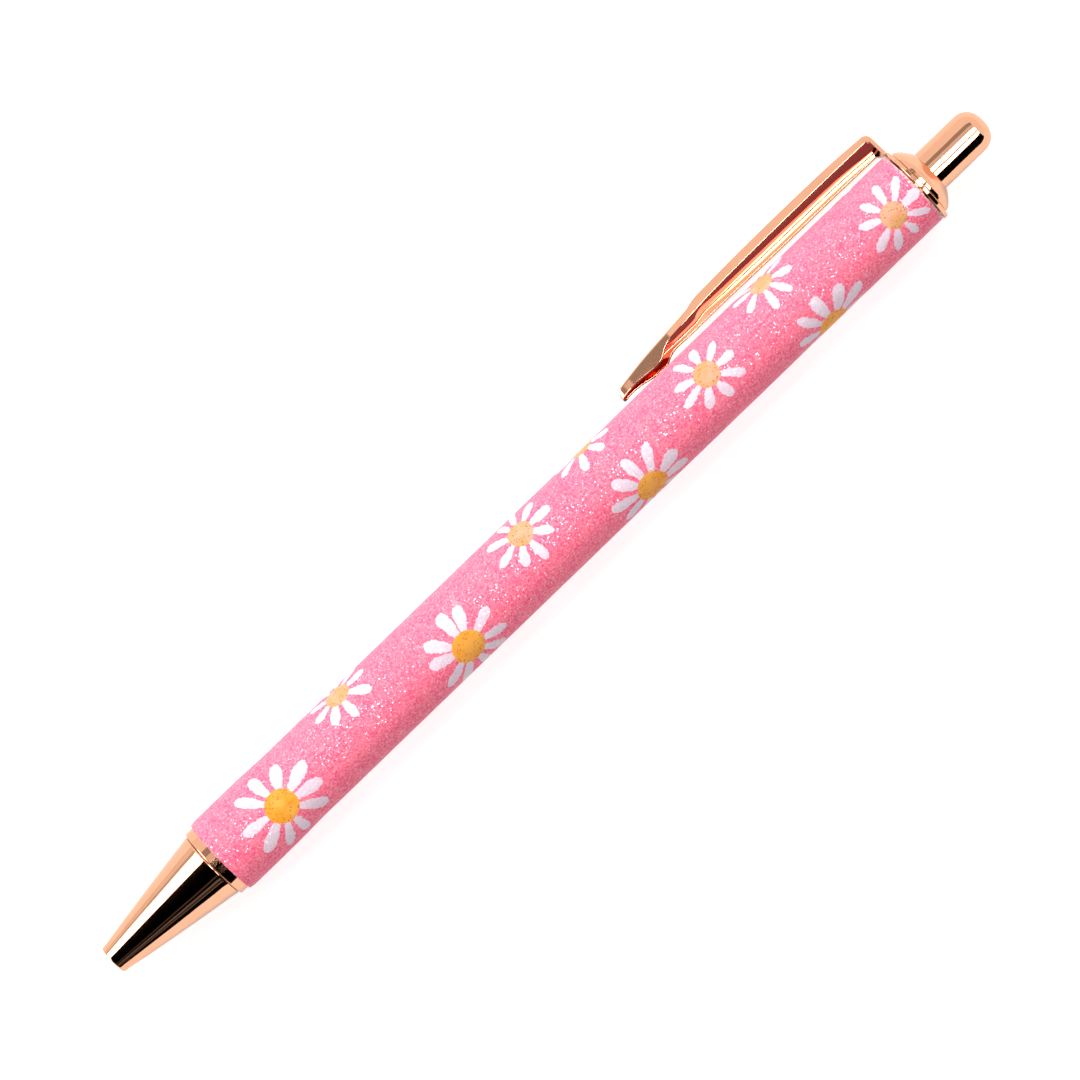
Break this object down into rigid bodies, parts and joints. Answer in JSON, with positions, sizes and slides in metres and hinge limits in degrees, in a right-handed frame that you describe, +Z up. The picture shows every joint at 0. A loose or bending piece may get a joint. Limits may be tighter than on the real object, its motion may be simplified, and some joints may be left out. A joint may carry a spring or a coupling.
{
  "type": "gel pen",
  "caption": "Retractable gel pen: slim round barrel in a printed wrap, turned cone nose, stamped channel clip and a domed push button.",
  "frame": {"origin": "middle of the pen's footprint, on the surface it lies on", "axes": "+X along the pen from the nose to the push button, +Y towards the clip's side, +Z up. The pen lies on its wrap, its clip ring and the lower corner of its clip"},
  "size_m": [0.141, 0.0142, 0.0103],
  "materials": {
    "rose_gold": "polished rose gold plating on brass",
    "printed_wrap": "pink glitter wrap printed with white daisies",
    "bare_brass": "turned, unplated",
    "spring_steel": "drawn wire",
    "point_metal": "fine turned",
    "refill_plastic": "milky extruded plastic",
    "moulded_white": "moulded",
    "moulded_dark": "moulded",
    "gel_ink": "wet gel ink",
    "follower_grease": "clear grease plug"
  },
  "bodies": {
    "barrel": {"barrel_tube": "rose_gold", "wrap_sleeve": "printed_wrap", "front_bush": "bare_brass", "rear_bush": "bare_brass", "cam_housing": "moulded_white", "clip_ring": "rose_gold", "end_cap": "rose_gold"},
    "clip": {"clip_arm": "rose_gold"},
    "nose_carrier": {"nose_liner": "moulded_white", "return_spring": "spring_steel"},
    "nose": {"nose_cone": "rose_gold"},
    "plunger": {"cam_plunger": "moulded_white", "push_button": "rose_gold"},
    "refill": {"refill_tube": "refill_plastic", "refill_nose": "refill_plastic", "refill_point": "point_metal", "refill_plug": "moulded_white", "ink_column": "gel_ink", "ink_follower": "follower_grease"},
    "rotor": {"cam_rotor": "moulded_dark"},
    "ball": {"point_ball": "point_metal"}
  },
  "joints": [
    {"name": "clip_flex", "type": "hinge", "parent": "barrel", "child": "clip", "pos_m": [0.0596, 0.00318, 0.00343], "axis": [0, -0.3155, -0.9489], "range_deg": [-0.8, 4], "stiffness_Nm_per_rad": 0.1},
    {"name": "nose_travel", "type": "slide", "parent": "barrel", "child": "nose_carrier", "axis": [-1, 0, 0], "range_m": [0, 0.006]},
    {"name": "nose_spin", "type": "hinge", "parent": "nose_carrier", "child": "nose", "pos_m": [-0.0625, -0.00195, 0.00513], "axis": [-1, 0, 0], "range_deg": [0, 2880]},
    {"name": "plunger_press", "type": "slide", "parent": "barrel", "child": "plunger", "axis": [-1, 0, 0], "range_m": [0, 0.005], "stiffness_N_per_m": 250, "springref_m": -0.006, "deforming": ["return_spring"]},
    {"name": "refill_slide", "type": "slide", "parent": "barrel", "child": "refill", "axis": [-1, 0, 0], "range_m": [0, 0.005]},
    {"name": "rotor_index", "type": "hinge", "parent": "refill", "child": "rotor", "pos_m": [0.045, -0.00195, 0.00513], "axis": [1, 0, 0], "continuous": true},
    {"name": "ball_roll", "type": "hinge", "parent": "refill", "child": "ball", "pos_m": [-0.06915, -0.00195, 0.00513], "axis": [0, 1, 0], "continuous": true}
  ],
  "couplings": [
    {"joint": "nose_spin", "follows": "nose_travel", "rad_per_m": 8377.6},
    {"joint": "refill_slide", "follows": "plunger_press", "ratio": 1}
  ]
}
